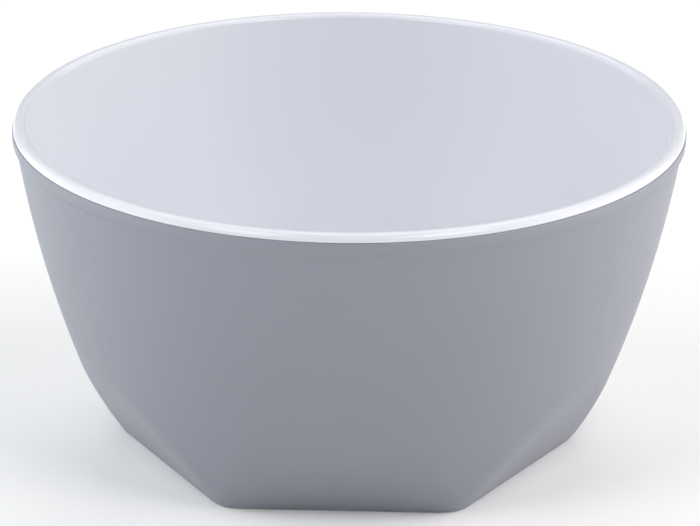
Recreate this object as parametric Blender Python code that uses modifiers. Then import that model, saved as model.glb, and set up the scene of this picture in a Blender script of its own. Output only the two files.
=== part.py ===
"""Round serving bowl on a six-sided foot: a white lining bowl seated in a grey outer shell.

Metres, +Z up. The origin is the centre of the face it stands on. One side of the foot faces -Y.
"""
import math

import bmesh
import bpy
from mathutils import Matrix

OBJECT_NAME = "chip_and_dip_bowl"
CUTTERS_NAME = "cutters"

# Driving dimensions
RIM_RADIUS = 0.125          # widest part, the bead of the shell
HEIGHT = 0.1265
SHELL_THICKNESS = 0.0020
LINING_THICKNESS = 0.0018
GAP = 0.0003                # between pieces that touch
CUT_MARGIN = 0.005          # by which a cutter stands past what it cuts

# Steps of the turned shapes: round the axis, along each long wall arc, each fillet and each rounded edge
TURN_STEPS = 72
WALL_STEPS = 9
FILLET_STEPS = 7
EDGE_STEPS = 3

# Outer wall: one long arc from under the bead, and a tighter one at the foot
BEAD_FACE = 0.0023          # height of the bead's upright face
BEAD_EDGE = 0.0006
BEAD_TAPER = 0.0038         # height over which the bead runs back to the wall
WALL_SET_BACK = 0.00165     # wall behind the bead's face
WALL_ARC = 0.430
WALL_LEAN = math.radians(9.3)
FOOT_ARC = 0.042
FOOT_ARC_HEIGHT = 0.009

# Six flat sides cut the lower wall
FACET_COUNT = 6
FACET_TILT = math.radians(34.5)
FOOT_HALF_WIDTH = 0.0753    # centre to the middle of one side, at the table
FOOT_RIM_WIDTH = 0.007
FOOT_RECESS = 0.0012
BOSS_RADIUS = 0.030         # ring inside the shell, under the lining's floor
BOSS_WIDTH = 0.003

# Lip of the lining and the seam under it
LIP_RADIUS = 0.1247
LIP_THICKNESS = 0.0027
LIP_WIDTH = 0.0055
LIP_SHOULDER = 0.0015
LIP_INNER_EDGE = 0.0020

# Inside of the lining
INNER_ARC = 0.378
INNER_LEAN = math.radians(9.1)
FLOOR_HEIGHT = 0.009
FLOOR_FILLET = 0.062

# Seal in a groove of the shell's top edge
SEAL_WIDTH = 0.0012
SEAL_HEIGHT = 0.0010
SEAL_RADIUS = 0.1231

SHELL_TOP = HEIGHT - LIP_THICKNESS - GAP
SHELL_FLOOR = FOOT_RECESS + SHELL_THICKNESS

GREY = (0.27, 0.28, 0.33, 1.0)
WHITE = (0.75, 0.76, 0.81, 1.0)
SEAL_GREY = (0.55, 0.56, 0.58, 1.0)


class Circle:
    """A circle in the (radius, height) half plane. Angles are from the outward direction, anticlockwise."""

    def __init__(self, centre, radius):
        self.centre = centre
        self.radius = radius

    @classmethod
    def through(cls, point, normal_angle, radius):
        """The circle of that radius through a point where its outward normal has that angle."""
        centre = (point[0] - radius * math.cos(normal_angle), point[1] - radius * math.sin(normal_angle))
        return cls(centre, radius)

    def inset(self, distance):
        return Circle(self.centre, self.radius - distance)

    def angle_at(self, height):
        return math.asin((height - self.centre[1]) / self.radius)

    def point(self, angle):
        return (self.centre[0] + self.radius * math.cos(angle), self.centre[1] + self.radius * math.sin(angle))

    def arc(self, start, end, steps):
        """Points from the start angle to the end angle, both included."""
        return [self.point(start + (end - start) * i / steps) for i in range(steps + 1)]


def fillet_inside(wall, radius, floor):
    """The circle that touches the wall's circle from inside and a floor at that height, and its tangent angle."""
    height = floor + radius
    reach = wall.radius - radius
    across = math.sqrt(reach ** 2 - (height - wall.centre[1]) ** 2)
    angle = math.atan2(height - wall.centre[1], across)
    return Circle((wall.centre[0] + across, height), radius), angle


def edge_outside(wall, radius, top):
    """The circle that touches the wall's circle from outside and a top face at that height, and its tangent angle."""
    height = top - radius
    reach = wall.radius + radius
    angle = math.asin((height - wall.centre[1]) / reach)
    return Circle((wall.centre[0] + reach * math.cos(angle), height), radius), angle


WALL_TOP = SHELL_TOP - BEAD_EDGE - BEAD_FACE - BEAD_TAPER
WALL = Circle.through((RIM_RADIUS - WALL_SET_BACK, WALL_TOP), -WALL_LEAN, WALL_ARC)
FOOT_ANGLE = WALL.angle_at(FOOT_ARC_HEIGHT)
FOOT = Circle.through(WALL.point(FOOT_ANGLE), FOOT_ANGLE, FOOT_ARC)

INNER_TOP = HEIGHT - LIP_INNER_EDGE
INNER_WALL = Circle.through((LIP_RADIUS - LIP_WIDTH, INNER_TOP), -INNER_LEAN, INNER_ARC)


def new_collection(name):
    collection = bpy.data.collections.new(name)
    bpy.context.scene.collection.children.link(collection)
    return collection


def make_material(name, color, roughness, coat):
    material = bpy.data.materials.new(name)
    material.use_nodes = True
    shader = material.node_tree.nodes["Principled BSDF"]
    shader.inputs["Base Color"].default_value = color
    shader.inputs["Roughness"].default_value = roughness
    shader.inputs["Metallic"].default_value = 0.0
    shader.inputs["Coat Weight"].default_value = coat
    material.diffuse_color = color
    return material


def turned(name, outline, collection, closed=False):
    """A body turned about Z from (radius, height) points that run down its outer side."""
    mesh = bpy.data.meshes.new(name)
    points = [(radius, 0.0, height) for radius, height in outline]
    edges = [(i, i + 1) for i in range(len(points) - 1)]
    if closed:
        edges.append((len(points) - 1, 0))
    mesh.from_pydata(points, edges, [])
    body = bpy.data.objects.new(name, mesh)
    collection.objects.link(body)
    screw = body.modifiers.new("turn", "SCREW")
    screw.steps = TURN_STEPS
    screw.render_steps = TURN_STEPS
    screw.use_merge_vertices = True
    screw.merge_threshold = 0.00001
    screw.use_smooth_shade = True
    return body


def six_sided(name, low, high, low_half_width, high_half_width, collection):
    """A six-sided prism or frustum about Z, one side facing -Y, from its half widths across the sides."""
    mesh = bpy.data.meshes.new(name)
    shape = bmesh.new()
    to_corner = 1.0 / math.cos(math.pi / FACET_COUNT)
    half_a_side = Matrix.Rotation(math.pi / FACET_COUNT, 4, "Z")
    bmesh.ops.create_cone(
        shape,
        cap_ends=True,
        segments=FACET_COUNT,
        radius1=low_half_width * to_corner,
        radius2=high_half_width * to_corner,
        depth=high - low,
        matrix=Matrix.Translation((0.0, 0.0, (high + low) / 2)) @ half_a_side,
    )
    shape.to_mesh(mesh)
    shape.free()
    body = bpy.data.objects.new(name, mesh)
    collection.objects.link(body)
    return body


def boolean(body, operation, other, name):
    modifier = body.modifiers.new(name, "BOOLEAN")
    modifier.operation = operation
    modifier.solver = "EXACT"
    modifier.object = other


def facet_frustum(name, inset, collection):
    """The six sides of the foot as a frustum that is wider than the bowl at the rim."""
    low = -CUT_MARGIN
    high = HEIGHT + CUT_MARGIN
    spread = math.tan(FACET_TILT)
    half_width = FOOT_HALF_WIDTH - inset / math.cos(FACET_TILT)
    return six_sided(name, low, high, half_width + low * spread, half_width + high * spread, collection)


def shell_outline():
    """Outer side of the shell, from its top edge down to the table."""
    edge = Circle((RIM_RADIUS - BEAD_EDGE, SHELL_TOP - BEAD_EDGE), BEAD_EDGE)
    points = [(0.0, SHELL_TOP)]
    points += edge.arc(math.pi / 2, 0.0, EDGE_STEPS)
    points.append((RIM_RADIUS, SHELL_TOP - BEAD_EDGE - BEAD_FACE))
    points += WALL.arc(-WALL_LEAN, FOOT_ANGLE, WALL_STEPS)
    points += FOOT.arc(FOOT_ANGLE, FOOT.angle_at(0.0), EDGE_STEPS)[1:]
    points.append((0.0, 0.0))
    return points


def cavity_outline():
    """Space inside the shell, open through its top, with a ring left standing on the floor."""
    inner = WALL.inset(SHELL_THICKNESS)
    inner_foot = FOOT.inset(SHELL_THICKNESS)
    top = inner.point(-WALL_LEAN)
    boss_top = FLOOR_HEIGHT - LINING_THICKNESS - GAP
    above = HEIGHT + CUT_MARGIN
    points = [(0.0, above), (top[0], above)]
    points += inner.arc(-WALL_LEAN, FOOT_ANGLE, WALL_STEPS)
    points.append(inner_foot.point(inner_foot.angle_at(SHELL_FLOOR)))
    points += [
        (BOSS_RADIUS + BOSS_WIDTH, SHELL_FLOOR),
        (BOSS_RADIUS + BOSS_WIDTH, boss_top),
        (BOSS_RADIUS, boss_top),
        (BOSS_RADIUS, SHELL_FLOOR),
        (0.0, SHELL_FLOOR),
    ]
    return points


def ring_outline(middle, width, low, high):
    """Rectangular section of a ring, its outer side running down."""
    inner = middle - width / 2
    outer = middle + width / 2
    return [(inner, high), (outer, high), (outer, low), (inner, low)]


def lining_outline():
    """The lining's section: floor, inner wall, lip, and back down its outer side."""
    fillet, tangent = fillet_inside(INNER_WALL, FLOOR_FILLET, FLOOR_HEIGHT)
    outer_wall = INNER_WALL.inset(-LINING_THICKNESS)
    outer_fillet = fillet.inset(-LINING_THICKNESS)
    lip_under = HEIGHT - LIP_THICKNESS

    inner_edge, wall_end = edge_outside(INNER_WALL, LIP_INNER_EDGE, HEIGHT)
    shoulder = Circle((LIP_RADIUS - LIP_SHOULDER, HEIGHT - LIP_SHOULDER), LIP_SHOULDER)

    points = [(0.0, FLOOR_HEIGHT)]
    points += fillet.arc(-math.pi / 2, tangent, FILLET_STEPS)
    points += INNER_WALL.arc(tangent, wall_end, WALL_STEPS)[1:]
    points += inner_edge.arc(math.pi + wall_end, math.pi / 2, EDGE_STEPS)[1:]
    points += shoulder.arc(math.pi / 2, 0.0, EDGE_STEPS)
    points.append((LIP_RADIUS, lip_under))
    under_angle = outer_wall.angle_at(lip_under)
    points += outer_wall.arc(under_angle, tangent, WALL_STEPS)
    points += outer_fillet.arc(tangent, -math.pi / 2, FILLET_STEPS)[1:]
    points.append((0.0, FLOOR_HEIGHT - LINING_THICKNESS))
    return points


def make_outer_shell(parts, cutters):
    """Grey shell: turned wall, six-sided foot, recessed underside and a groove for the seal."""
    shell = turned("outer_shell", shell_outline(), parts)
    cavity = turned("cavity", cavity_outline(), cutters)
    boolean(cavity, "INTERSECT", facet_frustum("cavity_sides", SHELL_THICKNESS, cutters), "sides")
    recess_half_width = FOOT_HALF_WIDTH - FOOT_RIM_WIDTH
    recess = six_sided(
        "foot_recess", -CUT_MARGIN, FOOT_RECESS, recess_half_width, recess_half_width, cutters
    )
    groove_width = SEAL_WIDTH + 2 * GAP
    groove_floor = SHELL_TOP - SEAL_HEIGHT - GAP
    groove = turned(
        "seal_groove", ring_outline(SEAL_RADIUS, groove_width, groove_floor, HEIGHT), cutters, closed=True
    )
    boolean(shell, "INTERSECT", facet_frustum("foot_sides", 0.0, cutters), "sides")
    boolean(shell, "DIFFERENCE", cavity, "cavity")
    boolean(shell, "DIFFERENCE", recess, "recess")
    boolean(shell, "DIFFERENCE", groove, "groove")
    shell.data.materials.append(make_material("shell_grey", GREY, 0.42, 0.0))


def make_inner_bowl(parts):
    """White lining with the lip that covers the shell's top edge."""
    lining = turned("inner_bowl", lining_outline(), parts)
    lining.data.materials.append(make_material("lining_white", WHITE, 0.12, 0.3))


def make_rim_seal(parts):
    """Seal between the lip and the shell, hidden in the groove."""
    outline = ring_outline(SEAL_RADIUS, SEAL_WIDTH, SHELL_TOP - SEAL_HEIGHT, SHELL_TOP)
    seal = turned("rim_seal", outline, parts, closed=True)
    seal.data.materials.append(make_material("seal_rubber", SEAL_GREY, 0.7, 0.0))


def main():
    for item in list(bpy.data.objects):
        bpy.data.objects.remove(item)
    parts = new_collection(OBJECT_NAME)
    cutters = new_collection(CUTTERS_NAME)
    make_outer_shell(parts, cutters)
    make_inner_bowl(parts)
    make_rim_seal(parts)
    for cutter in cutters.objects:
        cutter.hide_render = True
        cutter.display_type = "WIRE"


main()
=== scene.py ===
import math

import bmesh
import bpy
import numpy as np
from mathutils import Matrix, Vector


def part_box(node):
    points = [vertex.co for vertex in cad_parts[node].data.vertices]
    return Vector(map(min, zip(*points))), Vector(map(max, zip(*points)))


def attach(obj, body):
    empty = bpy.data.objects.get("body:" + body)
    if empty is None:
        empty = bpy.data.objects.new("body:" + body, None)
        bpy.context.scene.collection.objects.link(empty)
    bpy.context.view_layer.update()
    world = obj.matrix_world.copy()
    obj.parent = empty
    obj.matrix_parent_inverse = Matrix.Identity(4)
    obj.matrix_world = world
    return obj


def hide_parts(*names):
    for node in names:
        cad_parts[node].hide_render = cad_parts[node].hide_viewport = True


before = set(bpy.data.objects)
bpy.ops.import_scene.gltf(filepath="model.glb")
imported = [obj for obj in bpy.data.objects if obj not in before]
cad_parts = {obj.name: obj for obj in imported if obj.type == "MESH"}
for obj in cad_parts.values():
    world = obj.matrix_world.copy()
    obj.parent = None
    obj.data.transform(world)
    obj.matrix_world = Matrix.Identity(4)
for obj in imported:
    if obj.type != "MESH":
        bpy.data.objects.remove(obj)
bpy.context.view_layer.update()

# The model's own sizes, in metres, read from the CAD boxes
RIM_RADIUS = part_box("outer_shell")[1][0]
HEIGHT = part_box("inner_bowl")[1][2]
LIP_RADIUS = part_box("inner_bowl")[1][0]
FLOOR_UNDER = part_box("inner_bowl")[0][2]
SEAL_LOW, SEAL_HIGH = (corner[2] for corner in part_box("rim_seal"))
SEAL_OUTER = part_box("rim_seal")[1][0]

# Outer wall, as in the CAD
SHELL_THICKNESS = 0.0020
BEAD_EDGE = 0.0006
BEAD_FACE = 0.0023
BEAD_TAPER = 0.0038
WALL_SET_BACK = 0.00165
WALL_ARC = 0.430
WALL_LEAN = math.radians(9.3)
FOOT_ARC = 0.042
FOOT_ARC_HEIGHT = 0.009
SEAM_GAP = 0.0001

# Six flat sides that blend softly into the round wall
FACET_COUNT = 6
FACET_TILT = math.radians(34.5)
FOOT_HALF_WIDTH = 0.0753
FACET_BLEND = 0.0022
FOOT_EDGE = 0.0007
FOOT_RIM_WIDTH = 0.007
FOOT_RECESS = 0.0012
RECESS_CORNER = 0.004
RECESS_EDGE = 0.0003
RECESS_RINGS = (0.9, 0.75, 0.5, 0.25, 0.05)

# The hidden ring that backs the lining's floor, and the seal in its groove
BOSS_RADIUS = 0.030
BOSS_WIDTH = 0.003
SEAL_WIDTH = 0.0012
SEAL_CORNER = 0.0002
GROOVE_GAP = 0.0003

# Lining and its lip, which has a fine step round its outer shoulder
LINING_THICKNESS = 0.0018
LIP_THICKNESS = 0.0027
LIP_WIDTH = 0.0055
LIP_SHOULDER = 0.0023
LIP_STEP = 0.00012
LIP_STEP_ANGLE = math.radians(26)
LIP_STEP_RUN = math.radians(1)
LIP_INNER_EDGE = 0.0020
LIP_LOWER_EDGE = 0.0002
INNER_ARC = 0.378
INNER_LEAN = math.radians(9.1)
FLOOR_FILLET = 0.062
FLOOR_HEIGHT = FLOOR_UNDER + LINING_THICKNESS

# Points round the axis, and along each kind of stretch of an outline
TURN_STEPS = 720
SHORT_STEPS = 4
EDGE_STEPS = 8
FLOOR_STEPS = 12
INNER_EDGE_STEPS = 12
SHOULDER_STEPS = 14
TAPER_STEPS = 16
INNER_STEPS = 60
WALL_STEPS = 120
HIDDEN_FILLET_STEPS = 20
HIDDEN_LINING_STEPS = 30
HIDDEN_SHELL_STEPS = 40
CENTRE_RING = 0.002

ANGLES = np.arange(TURN_STEPS) * (2 * math.pi / TURN_STEPS)


class Circle:
    """A circle in the (radius, height) half plane. Angles run anticlockwise from the outward direction."""

    def __init__(self, centre, radius):
        self.centre = centre
        self.radius = radius

    @classmethod
    def through(cls, point, normal_angle, radius):
        """The circle of that radius through a point where its outward normal has that angle."""
        centre = (point[0] - radius * math.cos(normal_angle), point[1] - radius * math.sin(normal_angle))
        return cls(centre, radius)

    def offset(self, distance):
        return Circle(self.centre, self.radius + distance)

    def angle_at(self, height):
        return math.asin((height - self.centre[1]) / self.radius)

    def point(self, angle):
        across, up = self.centre
        return (across + self.radius * math.cos(angle), up + self.radius * math.sin(angle))

    def arc(self, start, end, steps):
        """Points from the start angle to the end angle, both included."""
        return [self.point(start + (end - start) * i / steps) for i in range(steps + 1)]


def fillet_inside(wall, radius, floor):
    """The circle that touches the wall's circle from inside and a floor at that height.

    The angle of its tangent point with the wall comes with it.
    """
    height = floor + radius
    reach = wall.radius - radius
    across = math.sqrt(reach ** 2 - (height - wall.centre[1]) ** 2)
    angle = math.atan2(height - wall.centre[1], across)
    return Circle((wall.centre[0] + across, height), radius), angle


def edge_outside(wall, radius, top):
    """The circle that touches the wall's circle from outside and a top face at that height.

    The wall's angle at the tangent point comes with it.
    """
    height = top - radius
    reach = wall.radius + radius
    angle = math.asin((height - wall.centre[1]) / reach)
    return Circle((wall.centre[0] + reach * math.cos(angle), height), radius), angle


def line(start, end, steps):
    """Points from start to end, both included."""
    return [
        (start[0] + (end[0] - start[0]) * i / steps, start[1] + (end[1] - start[1]) * i / steps)
        for i in range(steps + 1)
    ]


SHELL_TOP = HEIGHT - LIP_THICKNESS - SEAM_GAP
BEAD_FACE_END = SHELL_TOP - BEAD_EDGE - BEAD_FACE
WALL_TOP = BEAD_FACE_END - BEAD_TAPER
WALL = Circle.through((RIM_RADIUS - WALL_SET_BACK, WALL_TOP), -WALL_LEAN, WALL_ARC)
FOOT_ANGLE = WALL.angle_at(FOOT_ARC_HEIGHT)
FOOT = Circle.through(WALL.point(FOOT_ANGLE), FOOT_ANGLE, FOOT_ARC)
INNER_TOP = HEIGHT - LIP_INNER_EDGE
INNER_WALL = Circle.through((LIP_RADIUS - LIP_WIDTH, INNER_TOP), -INNER_LEAN, INNER_ARC)


# A body is a stack of closed rings round Z. Each ring is a (radius, height) pair of arrays over ANGLES.

def ring(radius, height):
    return np.broadcast_to(radius, ANGLES.shape), np.broadcast_to(height, ANGLES.shape)


def turned_rings(points):
    return [ring(radius, height) for radius, height in points]


def body_from_rings(name, rings, closed=False):
    """A smooth mesh object from rings. Open stacks end in a point on the axis at both ends."""
    mesh = bmesh.new()
    loops = []
    for radius, height in rings:
        loops.append([
            mesh.verts.new((r * math.cos(a), r * math.sin(a), z)) for a, r, z in zip(ANGLES, radius, height)
        ])
    pairs = list(zip(loops, loops[1:]))
    if closed:
        pairs.append((loops[-1], loops[0]))
    for upper, lower in pairs:
        for i in range(TURN_STEPS):
            j = (i + 1) % TURN_STEPS
            mesh.faces.new((upper[i], lower[i], lower[j], upper[j]))
    if not closed:
        for loop, height, step in ((loops[0], rings[0][1][0], 1), (loops[-1], rings[-1][1][0], -1)):
            middle = mesh.verts.new((0.0, 0.0, height))
            for i in range(TURN_STEPS):
                j = (i + 1) % TURN_STEPS
                mesh.faces.new((middle, loop[i], loop[j])[::step])
    for face in mesh.faces:
        face.smooth = True
    data = bpy.data.meshes.new(name)
    mesh.to_mesh(data)
    mesh.free()
    body = bpy.data.objects.new(name, data)
    bpy.context.scene.collection.objects.link(body)
    return body


def to_side(half_width):
    """Distance from the axis to a six-sided outline, one side facing -Y, over ANGLES."""
    sector = 2 * math.pi / FACET_COUNT
    from_middle = (ANGLES + math.pi / 2 + sector / 2) % sector - sector / 2
    return half_width / np.cos(from_middle)


def soft_min(first, second, blend):
    """The smaller of two lengths, with the crossing rounded over the blend length."""
    share = np.clip(0.5 + 0.5 * (first - second) / blend, 0.0, 1.0)
    return first * (1 - share) + second * share - blend * share * (1 - share)


def cut_by_sides(radius, height, inset=0.0):
    """A round section's radius where the six tilted sides cut it, over ANGLES."""
    half_width = FOOT_HALF_WIDTH + math.tan(FACET_TILT) * height - inset / math.cos(FACET_TILT)
    return soft_min(to_side(half_width), radius, FACET_BLEND)


def wall_radius(height, inset=0.0):
    """Radius of the round wall at a height, before the sides cut it."""
    circle = (WALL if height > FOOT_ARC_HEIGHT else FOOT).offset(-inset)
    return circle.point(circle.angle_at(height))[0]


def bead_rings():
    """The shell's top edge, the bead's upright face and the soft run back to the wall."""
    edge = Circle((RIM_RADIUS - BEAD_EDGE, SHELL_TOP - BEAD_EDGE), BEAD_EDGE)
    points = edge.arc(math.pi / 2, 0.0, EDGE_STEPS)
    points += line((RIM_RADIUS, SHELL_TOP - BEAD_EDGE), (RIM_RADIUS, BEAD_FACE_END), SHORT_STEPS)[1:]
    for i in range(1, TAPER_STEPS + 1):
        run = i / TAPER_STEPS
        ease = run * run * (3 - 2 * run)
        height = BEAD_FACE_END - BEAD_TAPER * run
        points.append((RIM_RADIUS * (1 - ease) + wall_radius(height) * ease, height))
    return turned_rings(points)


def wall_rings():
    """The wall from under the bead to the start of the foot's edge, cut by the six sides."""
    rings = []
    for i in range(1, WALL_STEPS + 1):
        height = WALL_TOP + (2 * FOOT_EDGE - WALL_TOP) * i / WALL_STEPS
        rings.append((cut_by_sides(wall_radius(height), height), np.full(TURN_STEPS, height)))
    return rings


def foot_edge_rings():
    """The rounded edge between the wall and the face that stands on the table."""
    low = cut_by_sides(wall_radius(0.0), 0.0)
    high = cut_by_sides(wall_radius(2 * FOOT_EDGE), 2 * FOOT_EDGE)
    tilt = np.arctan2(high - low, 2 * FOOT_EDGE)
    centre = low + np.tan(tilt) * FOOT_EDGE - FOOT_EDGE / np.cos(tilt)
    rings = []
    for i in range(EDGE_STEPS + 1):
        angle = -tilt + (tilt - math.pi / 2) * i / EDGE_STEPS
        rings.append((centre + FOOT_EDGE * np.cos(angle), FOOT_EDGE + FOOT_EDGE * np.sin(angle)))
    return rings


def underside_rings():
    """The flat rim of the foot, the step up to the recess and the recessed base."""
    flat_sides = to_side(FOOT_HALF_WIDTH - FOOT_RIM_WIDTH)
    outline = soft_min(flat_sides, wall_radius(0.0) - FOOT_RIM_WIDTH, RECESS_CORNER)
    edge = RECESS_EDGE
    rings = []
    for angle in np.linspace(math.pi / 2, 0.0, SHORT_STEPS + 1):
        height = edge - edge * math.sin(angle)
        rings.append((outline - edge * math.cos(angle), np.full(TURN_STEPS, height)))
    for angle in np.linspace(0.0, math.pi / 2, SHORT_STEPS + 1):
        inward = 2 * edge - edge * math.cos(angle)
        height = FOOT_RECESS - edge + edge * math.sin(angle)
        rings.append((outline - inward, np.full(TURN_STEPS, height)))
    for share in RECESS_RINGS:
        rings.append((outline * share, np.full(TURN_STEPS, FOOT_RECESS)))
    return rings


def shell_inside_rings():
    """The hidden inside, from the middle of its floor, over the backing ring, up to the top edge."""
    floor = FOOT_RECESS + SHELL_THICKNESS
    boss_top = FLOOR_UNDER - SEAM_GAP
    boss_outer = BOSS_RADIUS + BOSS_WIDTH
    rings = turned_rings([
        (CENTRE_RING, floor),
        (BOSS_RADIUS, floor),
        (BOSS_RADIUS, boss_top),
        (boss_outer, boss_top),
        (boss_outer, floor),
    ])
    for i in range(HIDDEN_SHELL_STEPS + 1):
        height = floor + (WALL_TOP - floor) * i / HIDDEN_SHELL_STEPS
        radius = wall_radius(height, SHELL_THICKNESS)
        rings.append((cut_by_sides(radius, height, SHELL_THICKNESS), np.full(TURN_STEPS, height)))
    groove_inner = SEAL_OUTER - SEAL_WIDTH - GROOVE_GAP
    groove_outer = SEAL_OUTER + GROOVE_GAP
    groove_floor = SEAL_LOW - GROOVE_GAP
    rings += turned_rings([
        (wall_radius(WALL_TOP, SHELL_THICKNESS), SHELL_TOP),
        (groove_inner, SHELL_TOP),
        (groove_inner, groove_floor),
        (groove_outer, groove_floor),
        (groove_outer, SHELL_TOP),
    ])
    return rings


def make_outer_shell():
    """The grey shell, from its hidden inside over the top edge and down to the recessed base."""
    rings = shell_inside_rings() + bead_rings() + wall_rings() + foot_edge_rings() + underside_rings()
    return body_from_rings("shell_skin", rings)


def make_lining():
    """Floor, inner wall, lip, and back down the hidden side."""
    fillet, tangent = fillet_inside(INNER_WALL, FLOOR_FILLET, FLOOR_HEIGHT)
    outer_wall = INNER_WALL.offset(LINING_THICKNESS)
    outer_fillet = fillet.offset(LINING_THICKNESS)
    lip_under = HEIGHT - LIP_THICKNESS
    inner_edge, wall_end = edge_outside(INNER_WALL, LIP_INNER_EDGE, HEIGHT)
    lower_shoulder = Circle((LIP_RADIUS - LIP_SHOULDER, HEIGHT - LIP_SHOULDER), LIP_SHOULDER)
    shoulder = Circle((lower_shoulder.centre[0] - LIP_STEP, lower_shoulder.centre[1]), LIP_SHOULDER)
    lower_edge = Circle((LIP_RADIUS - LIP_LOWER_EDGE, lip_under + LIP_LOWER_EDGE), LIP_LOWER_EDGE)
    under_end = outer_wall.angle_at(lip_under)

    points = line((CENTRE_RING, FLOOR_HEIGHT), (fillet.centre[0], FLOOR_HEIGHT), FLOOR_STEPS)
    points += fillet.arc(-math.pi / 2, tangent, INNER_STEPS)[1:]
    points += INNER_WALL.arc(tangent, wall_end, INNER_STEPS)[1:]
    points += inner_edge.arc(math.pi + wall_end, math.pi / 2, INNER_EDGE_STEPS)[1:]
    points += line((inner_edge.centre[0], HEIGHT), (shoulder.centre[0], HEIGHT), SHORT_STEPS)[1:]
    points += shoulder.arc(math.pi / 2, LIP_STEP_ANGLE, SHOULDER_STEPS)[1:]
    points += lower_shoulder.arc(LIP_STEP_ANGLE - LIP_STEP_RUN, 0.0, EDGE_STEPS)
    points += lower_edge.arc(0.0, -math.pi / 2, SHORT_STEPS)
    points += line((lower_edge.centre[0], lip_under), outer_wall.point(under_end), SHORT_STEPS)[1:]
    points += outer_wall.arc(under_end, tangent, HIDDEN_LINING_STEPS)[1:]
    points += outer_fillet.arc(tangent, -math.pi / 2, HIDDEN_FILLET_STEPS)[1:]
    points.append((CENTRE_RING, FLOOR_UNDER))
    return body_from_rings("lining_bowl", turned_rings(points))


def make_seal():
    """A soft rounded square section that fills the groove."""
    half_height = (SEAL_HIGH - SEAL_LOW) / 2
    half_width = SEAL_WIDTH / 2
    middle = SEAL_OUTER - half_width
    level = (SEAL_HIGH + SEAL_LOW) / 2
    to_corner = (half_width - SEAL_CORNER, half_height - SEAL_CORNER)
    points = []
    for side_x, side_z, start in ((1, 1, 90), (1, -1, 0), (-1, -1, -90), (-1, 1, -180)):
        centre = (middle + side_x * to_corner[0], level + side_z * to_corner[1])
        begin = math.radians(start)
        points += Circle(centre, SEAL_CORNER).arc(begin, begin - math.pi / 2, SHORT_STEPS)
    return body_from_rings("seal_ring", turned_rings(points), closed=True)


class Surface:
    """A Principled material and the few kinds of node that drive it."""

    def __init__(self, name):
        self.material = bpy.data.materials.new(name)
        self.material.use_nodes = True
        self.nodes = self.material.node_tree.nodes
        self.links = self.material.node_tree.links
        self.shader = self.nodes["Principled BSDF"]
        self.place = self.nodes.new("ShaderNodeTexCoord").outputs["Object"]

    def set(self, socket, value):
        self.shader.inputs[socket].default_value = value

    def drive(self, socket, value):
        self.links.new(value, self.shader.inputs[socket])

    def noise(self, scale, detail=2.0):
        """Cloudy values round 0.5, with a patch about every 1 / scale metres."""
        node = self.nodes.new("ShaderNodeTexNoise")
        node.inputs["Scale"].default_value = scale
        node.inputs["Detail"].default_value = detail
        self.links.new(self.place, node.inputs["Vector"])
        return node.outputs["Fac"]

    def height(self):
        """Height above the table, in metres."""
        node = self.nodes.new("ShaderNodeSeparateXYZ")
        self.links.new(self.place, node.inputs["Vector"])
        return node.outputs["Z"]

    def distance(self):
        """Distance from the origin, in metres."""
        node = self.nodes.new("ShaderNodeVectorMath")
        node.operation = "LENGTH"
        self.links.new(self.place, node.inputs["Vector"])
        return node.outputs["Value"]

    def spread(self, value, low, high, start=0.0, end=1.0):
        """The value's range from start to end, laid over low to high and held there outside it."""
        node = self.nodes.new("ShaderNodeMapRange")
        for socket, number in zip(("From Min", "From Max", "To Min", "To Max"), (start, end, low, high)):
            node.inputs[socket].default_value = number
        self.links.new(value, node.inputs["Value"])
        return node.outputs["Result"]

    def combine(self, operation, first, second):
        node = self.nodes.new("ShaderNodeMath")
        node.operation = operation
        for socket, value in zip(node.inputs, (first, second)):
            if isinstance(value, float):
                socket.default_value = value
            else:
                self.links.new(value, socket)
        return node.outputs["Value"]

    def tint(self, value, low, high):
        """Colour between two, by a value from 0 to 1. Either may be a colour or another tint."""
        node = self.nodes.new("ShaderNodeMix")
        node.data_type = "RGBA"
        sockets = [socket for socket in node.inputs if socket.type == "RGBA"]
        for socket, color in zip(sockets, (low, high)):
            if isinstance(color, tuple):
                socket.default_value = (*color, 1.0)
            else:
                self.links.new(color, socket)
        self.links.new(value, node.inputs["Factor"])
        return next(socket for socket in node.outputs if socket.type == "RGBA")

    def bump(self, height, distance, under=None):
        node = self.nodes.new("ShaderNodeBump")
        node.inputs["Distance"].default_value = distance
        self.links.new(height, node.inputs["Height"])
        if under is not None:
            self.links.new(under, node.inputs["Normal"])
        return node.outputs["Normal"]

    def hairlines(self, scale, width):
        """Thin curved marks, 1 on a mark: level lines of a smooth noise, broken up by a finer one."""
        above_level = self.combine("SUBTRACT", self.noise(scale, 0.0), 0.5)
        off_level = self.combine("ABSOLUTE", above_level, 0.0)
        marks = self.spread(off_level, 1.0, 0.0, 0.0, width)
        patches = self.spread(self.noise(4 * scale, 0.0), 0.0, 1.0, 0.52, 0.60)
        return self.combine("MULTIPLY", marks, patches)


LINING_IOR = 1.5
LINING_WHITES = ((0.740, 0.759, 0.817), (0.754, 0.773, 0.827))
LINING_ROUGHNESS = (0.14, 0.21)
RIPPLE_HEIGHT = 0.00002
MARK_DEPTH = 0.00001
MARK_ROUGHNESS = 0.22
MARKS_FADE = (0.015, 0.055)


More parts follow.
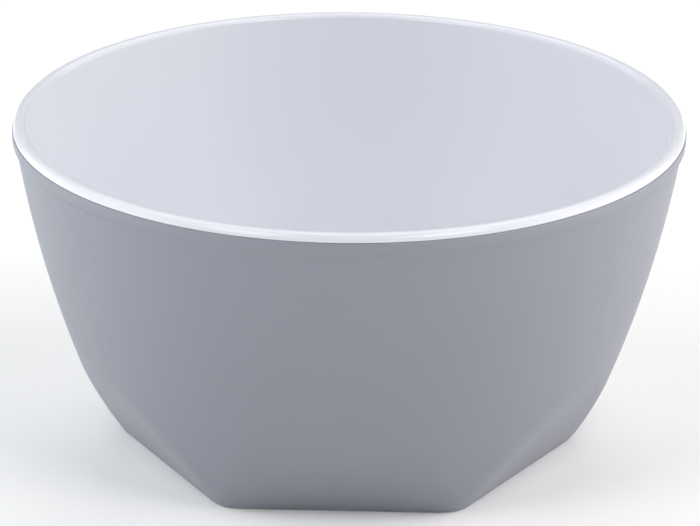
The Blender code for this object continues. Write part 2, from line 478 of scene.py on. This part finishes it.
def make_lining_material():
    """Glossy moulded white, with a faint ripple and fine cutlery marks towards the floor."""
    surface = Surface("lining_white_gloss")
    surface.set("IOR", LINING_IOR)
    surface.drive("Base Color", surface.tint(surface.noise(22.0), *LINING_WHITES))
    low_down = surface.spread(surface.height(), 1.0, 0.0, *MARKS_FADE)
    fine = surface.combine("MAXIMUM", surface.hairlines(26.0, 0.006), surface.hairlines(41.0, 0.008))
    marks = surface.combine("MULTIPLY", fine, low_down)
    mottle = surface.spread(surface.noise(140.0), *LINING_ROUGHNESS)
    worn = surface.combine("MULTIPLY", marks, MARK_ROUGHNESS)
    surface.drive("Roughness", surface.combine("ADD", mottle, worn))
    ripple = surface.bump(surface.noise(45.0, 1.0), RIPPLE_HEIGHT)
    surface.drive("Normal", surface.bump(marks, -MARK_DEPTH, ripple))
    return surface.material


SHELL_IOR = 1.65
SHELL_GREYS = ((0.246, 0.260, 0.307), (0.254, 0.268, 0.315))
SHELL_ROUGHNESS = (0.38, 0.48)
HANDLING_ROUGHNESS = (-0.03, 0.03)
GRAIN_HEIGHT = 0.000006
SCUFF_GREY = (0.33, 0.34, 0.38)
SCUFF_ROUGHNESS = 0.12
SCUFFS_FADE = (0.0002, 0.0016)


def make_shell_material():
    """Satin moulded grey with a fine grain, scuffed pale where the foot meets the table."""
    surface = Surface("shell_grey_satin")
    surface.set("IOR", SHELL_IOR)
    body = surface.tint(surface.noise(18.0), *SHELL_GREYS)
    near_table = surface.spread(surface.height(), 1.0, 0.0, *SCUFFS_FADE)
    patches = surface.spread(surface.noise(260.0), 0.0, 1.0, 0.45, 0.65)
    scuffs = surface.combine("MULTIPLY", near_table, patches)
    surface.drive("Base Color", surface.tint(scuffs, body, SCUFF_GREY))
    handling = surface.spread(surface.noise(14.0), *HANDLING_ROUGHNESS, 0.3, 0.7)
    grain = surface.spread(surface.noise(220.0), *SHELL_ROUGHNESS)
    satin = surface.combine("ADD", grain, handling)
    worn = surface.combine("MULTIPLY", scuffs, SCUFF_ROUGHNESS)
    surface.drive("Roughness", surface.combine("ADD", satin, worn))
    surface.drive("Normal", surface.bump(surface.noise(1300.0, 1.0), GRAIN_HEIGHT))
    return surface.material


SEAL_GREYS = ((0.50, 0.51, 0.53), (0.58, 0.59, 0.61))
SEAL_ROUGHNESS = 0.7
BLOOM_HEIGHT = 0.00001


def make_seal_material():
    """Soft matte silicone with a faint bloom."""
    surface = Surface("seal_soft_grey")
    surface.set("Roughness", SEAL_ROUGHNESS)
    surface.drive("Base Color", surface.tint(surface.noise(400.0), *SEAL_GREYS))
    surface.drive("Normal", surface.bump(surface.noise(900.0), BLOOM_HEIGHT))
    return surface.material


def finish_piece(piece, node, material):
    """Give the piece its material, hide the CAD node it stands for, and attach it to the root body."""
    piece.data.materials.append(material)
    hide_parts(node)
    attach(piece, "root")


# Studio

CAMERA_AZIMUTH = math.radians(1.825)
CAMERA_ELEVATION = math.radians(21.17)
CAMERA_ROLL = math.radians(0.417)
CAMERA_DISTANCE = 1.9053
CAMERA_AIM = (0.00065, 0.0, 0.0682)
CAMERA_SENSOR = 36.0
CAMERA_LENS = 261.2
CAMERA_REACH = 50.0


def make_camera():
    data = bpy.data.cameras.new("camera")
    data.sensor_width = CAMERA_SENSOR
    data.lens = CAMERA_LENS
    data.clip_end = CAMERA_REACH
    camera = bpy.data.objects.new("camera", data)
    bpy.context.scene.collection.objects.link(camera)
    back = Vector((
        math.sin(CAMERA_AZIMUTH) * math.cos(CAMERA_ELEVATION),
        -math.cos(CAMERA_AZIMUTH) * math.cos(CAMERA_ELEVATION),
        math.sin(CAMERA_ELEVATION),
    ))
    turn = (-back).to_track_quat("-Z", "Y").to_matrix().to_4x4() @ Matrix.Rotation(CAMERA_ROLL, 4, "Z")
    camera.matrix_world = Matrix.Translation(Vector(CAMERA_AIM) + back * CAMERA_DISTANCE) @ turn
    bpy.context.scene.camera = camera


FLOOR_HALF_SIZE = 60.0
FLOOR_SEGMENTS = 8
FLOOR_DROP = 0.0001
FLOOR_ALBEDO = 0.92
FLOOR_ROUGHNESS = 0.8
# Painted light: the floor glows faintly near the bowl and brightly beyond the reach of the lamps
FLOOR_PAINTED_GLOW = 0.08
FAR_PAINTED_GLOW = 0.95
PAINTED_GLOW_START = 0.7
PAINTED_GLOW_END = 1.05


def make_floor():
    """A pale table with painted light: it glows a little near the bowl, lighting it from below, and much
    more beyond the reach of the lamps.
    """
    mesh = bmesh.new()
    bmesh.ops.create_grid(
        mesh, x_segments=FLOOR_SEGMENTS, y_segments=FLOOR_SEGMENTS, size=FLOOR_HALF_SIZE
    )
    data = bpy.data.meshes.new("floor")
    mesh.to_mesh(data)
    mesh.free()
    floor = bpy.data.objects.new("floor", data)
    floor.location.z = -FLOOR_DROP
    bpy.context.scene.collection.objects.link(floor)
    surface = Surface("floor_pale_painted_glow")
    surface.set("Base Color", (FLOOR_ALBEDO, FLOOR_ALBEDO, FLOOR_ALBEDO, 1.0))
    surface.set("Roughness", FLOOR_ROUGHNESS)
    surface.set("Emission Color", (1.0, 1.0, 1.0, 1.0))
    # Painted glow: emission that stands in for lamplight, rising with distance from the bowl
    painted_glow = surface.spread(surface.distance(), FLOOR_PAINTED_GLOW, FAR_PAINTED_GLOW, PAINTED_GLOW_START, PAINTED_GLOW_END)
    surface.drive("Emission Strength", painted_glow)
    data.materials.append(surface.material)


def area_light(name, place, aim, size, power, tint_color):
    """A rectangular lamp of that width and height in metres and power in watts, turned to its aim."""
    data = bpy.data.lights.new(name, "AREA")
    data.shape = "RECTANGLE"
    data.size, data.size_y = size
    data.energy = power
    data.color = tint_color
    light = bpy.data.objects.new(name, data)
    bpy.context.scene.collection.objects.link(light)
    turn = (Vector(aim) - Vector(place)).to_track_quat("-Z", "Y").to_matrix().to_4x4()
    light.matrix_world = Matrix.Translation(place) @ turn


LEFT_TINT = (0.96, 1.0, 1.015)
RIGHT_TINT = (1.06, 1.0, 0.975)
WHITE_TINT = (1.0, 1.0, 1.0)
ROOM_TINT = (0.92, 1.0, 1.1, 1.0)
ROOM_STRENGTH = 0.02


def make_lights():
    """Wide soft panels beside the bowl and softboxes overhead, a little warmer from the right."""
    ground = (0.0, 0.0, 0.0)
    level = (0.0, 0.1, 0.45)
    area_light("left_panel", (-1.0, 0.1, 0.45), level, (1.6, 0.9), 8.5, LEFT_TINT)
    area_light("right_panel", (1.0, 0.1, 0.45), level, (1.6, 0.9), 8.5, RIGHT_TINT)
    area_light("left_softbox", (-0.9, 0.0, 1.3), ground, (0.8, 1.0), 3.0, WHITE_TINT)
    area_light("right_softbox", (0.9, 0.0, 1.3), ground, (0.8, 1.0), 4.3, WHITE_TINT)
    area_light("front_left_softbox", (-0.7, -0.8, 1.3), ground, (0.6, 0.6), 6.8, WHITE_TINT)
    area_light("front_right_softbox", (0.7, -0.8, 1.3), ground, (0.6, 0.6), 7.4, WHITE_TINT)
    area_light("back_softbox", (0.0, 1.2, 1.4), ground, (1.4, 0.8), 10.4, WHITE_TINT)
    world = bpy.data.worlds.new("studio")
    bpy.context.scene.world = world
    world.use_nodes = True
    background = world.node_tree.nodes["Background"]
    background.inputs["Color"].default_value = ROOM_TINT
    background.inputs["Strength"].default_value = ROOM_STRENGTH


def main():
    bpy.context.scene.view_settings.view_transform = "Standard"
    make_camera()
    finish_piece(make_outer_shell(), "outer_shell", make_shell_material())
    finish_piece(make_lining(), "inner_bowl", make_lining_material())
    finish_piece(make_seal(), "rim_seal", make_seal_material())
    make_floor()
    make_lights()


main()
